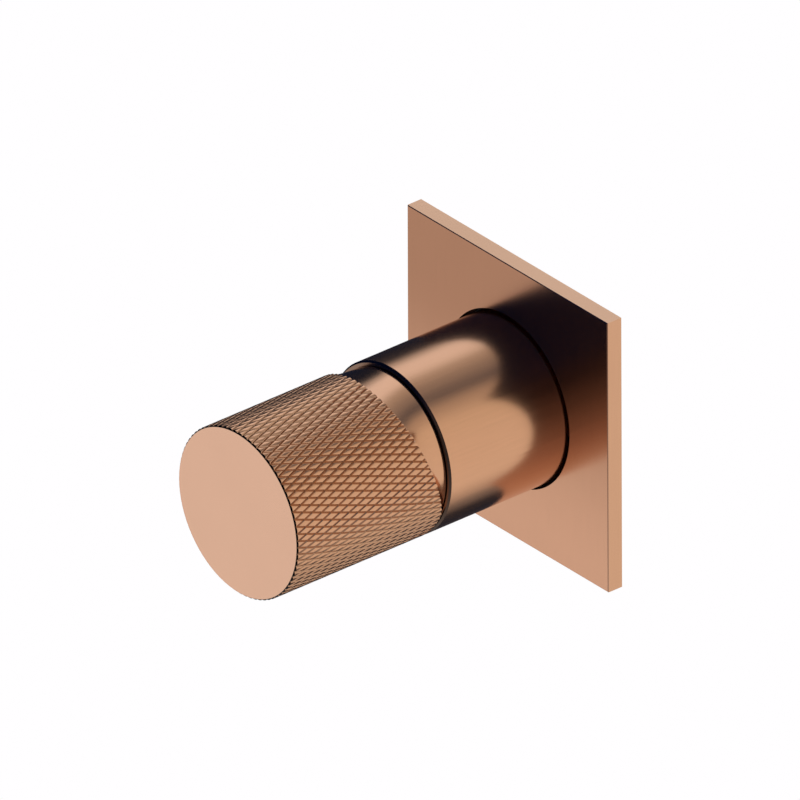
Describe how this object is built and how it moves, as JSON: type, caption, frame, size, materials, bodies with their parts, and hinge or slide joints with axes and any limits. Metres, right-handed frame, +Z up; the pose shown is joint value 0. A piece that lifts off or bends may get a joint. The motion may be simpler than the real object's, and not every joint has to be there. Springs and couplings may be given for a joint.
{
  "type": "concealed shower mixer",
  "caption": "Concealed shower mixer: knurled knob on a smooth sleeve, square wall plate, ceramic cartridge and brass body with threaded ports in the wall.",
  "frame": {"origin": "centre of the wall plate's back, on the finished wall", "axes": "+X right as seen from the front, +Y into the wall along the knob's axis, +Z up"},
  "size_m": [0.09, 0.1394, 0.085],
  "materials": {
    "brushed_copper": "brushed rose copper plating",
    "brass": "cast and machined, unplated",
    "steel": "bright stainless steel",
    "black_rubber": "smooth moulded rubber",
    "foam": "closed-cell foam",
    "grey_plastic": "moulded, satin",
    "white_plastic": "moulded, satin",
    "red_plastic": "moulded, satin",
    "white_ceramic": "lapped alumina"
  },
  "bodies": {
    "fixed": {"wall_plate": "brushed_copper", "plate_gasket": "foam", "plate_seal": "black_rubber", "sleeve": "brushed_copper", "sleeve_carrier": "brass", "sleeve_o_rings": "black_rubber", "limit_ring": "red_plastic", "slide_washer": "white_plastic", "fixed_disc": "white_ceramic", "disc_seals": "black_rubber", "cartridge_base": "grey_plastic", "base_seals": "black_rubber", "cartridge_housing": "grey_plastic", "cartridge_nut": "brass", "valve_body": "brass"},
    "turning": {"knob": "brushed_copper", "grub_screw": "steel", "handle_adapter": "grey_plastic", "adapter_screw": "steel", "cartridge_spindle": "brass", "spindle_o_ring": "black_rubber", "spindle_clip": "steel", "stop_washer": "steel", "disc_driver": "white_plastic", "moving_disc": "white_ceramic"}
  },
  "joints": [
    {"name": "knob_turn", "type": "hinge", "parent": "fixed", "child": "turning", "pos_m": [0, 0, 0], "axis": [0, -1, 0], "range_deg": [0, 120]}
  ]
}
